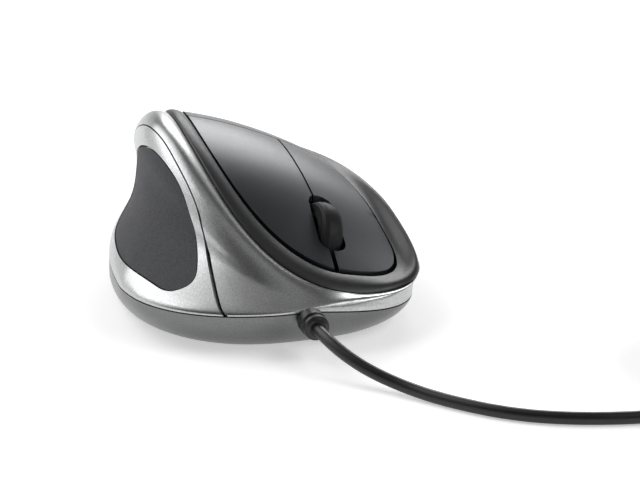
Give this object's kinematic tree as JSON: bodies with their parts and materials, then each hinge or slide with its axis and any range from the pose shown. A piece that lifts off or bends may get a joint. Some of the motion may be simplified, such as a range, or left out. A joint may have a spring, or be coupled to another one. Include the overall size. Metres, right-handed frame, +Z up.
{
  "type": "ergonomic mouse",
  "caption": "Left-handed corded optical mouse with a raised thumb hollow, sloping palm, hinged buttons and a scroll wheel that clicks",
  "frame": {"origin": "on the desk under the middle of the mouse, measured without the cord", "axes": "+Z up; the cord leaves towards -Y, so -Y is the front; the thumb side is -X"},
  "size_m": [0.1908, 0.1856, 0.0461],
  "materials": {
    "silver": "satin silver metallic paint",
    "grip": "matte soft grip",
    "rim_black": "matte black plastic",
    "graphite": "satin graphite plastic",
    "wheel_rubber": "matte black rubber",
    "hub_plastic": "black plastic",
    "foot": "smooth low-friction plastic",
    "board": "green board lacquer",
    "steel": "plain steel",
    "switch": "moulded plastic",
    "plunger": "pale moulded plastic",
    "clear": "clear moulded plastic",
    "lamp": "clear red plastic",
    "can": "aluminium can",
    "cord": "satin black cord jacket",
    "strap": "black strap"
  },
  "bodies": {
    "case": {"base_shell": "silver", "upper_frame": "silver", "thumb_panel": "silver", "thumb_grip": "grip", "rim": "rim_black", "palm_cover": "graphite", "front_foot": "foot", "rear_foot": "foot", "circuit_board": "board", "board_screws": "steel", "left_switch": "switch", "right_switch": "switch", "optical_sensor": "switch", "lens": "clear", "led": "lamp", "led_clip": "hub_plastic", "cable_connector": "plunger", "capacitor": "can", "controller_chip": "switch", "front_guide": "hub_plastic", "rear_guide": "hub_plastic", "wheel_switch": "switch", "button_hinge_pin": "steel", "strain_relief": "cord", "cord": "cord", "cord_coil": "cord", "cord_tie": "strap", "plug_lead": "cord", "usb_plug_grip": "cord", "usb_plug_shell": "steel", "usb_plug_tongue": "plunger"},
    "left_button": {"left_button": "graphite"},
    "right_button": {"right_button": "graphite"},
    "left_plunger": {"left_switch_plunger": "plunger"},
    "right_plunger": {"right_switch_plunger": "plunger"},
    "wheel_carrier": {"wheel_carrier": "hub_plastic", "wheel_encoder": "switch"},
    "wheel": {"wheel_tyre": "wheel_rubber", "wheel_hub": "hub_plastic"},
    "wheel_plunger": {"wheel_switch_plunger": "plunger"}
  },
  "joints": [
    {"name": "left_click", "type": "hinge", "parent": "case", "child": "left_button", "pos_m": [0.011, 0.012, 0.03078], "axis": [0.9336, 0, -0.3584], "range_deg": [0, 0.6], "stiffness_Nm_per_rad": 2.5},
    {"name": "right_click", "type": "hinge", "parent": "case", "child": "right_button", "pos_m": [0.011, 0.012, 0.03078], "axis": [0.9336, 0, -0.3584], "range_deg": [0, 0.6], "stiffness_Nm_per_rad": 2.5},
    {"name": "left_switch_press", "type": "slide", "parent": "case", "child": "left_plunger", "axis": [0, 0, -1], "range_m": [0, 0.00045]},
    {"name": "right_switch_press", "type": "slide", "parent": "case", "child": "right_plunger", "axis": [0, 0, -1], "range_m": [0, 0.00045]},
    {"name": "wheel_click", "type": "slide", "parent": "case", "child": "wheel_carrier", "axis": [-0.3256, 0, -0.9455], "range_m": [0, 0.0005], "stiffness_N_per_m": 1600},
    {"name": "wheel_switch_press", "type": "slide", "parent": "case", "child": "wheel_plunger", "axis": [-0.3256, 0, -0.9455], "range_m": [0, 0.0005]},
    {"name": "scroll", "type": "hinge", "parent": "wheel_carrier", "child": "wheel", "pos_m": [0.01424, -0.0238, 0.01693], "axis": [0.9455, 0, -0.3256], "continuous": true}
  ],
  "couplings": [
    {"joint": "left_switch_press", "follows": "left_click", "m_per_rad": 0.03921},
    {"joint": "right_switch_press", "follows": "right_click", "m_per_rad": 0.03921},
    {"joint": "wheel_switch_press", "follows": "wheel_click", "ratio": 1}
  ]
}
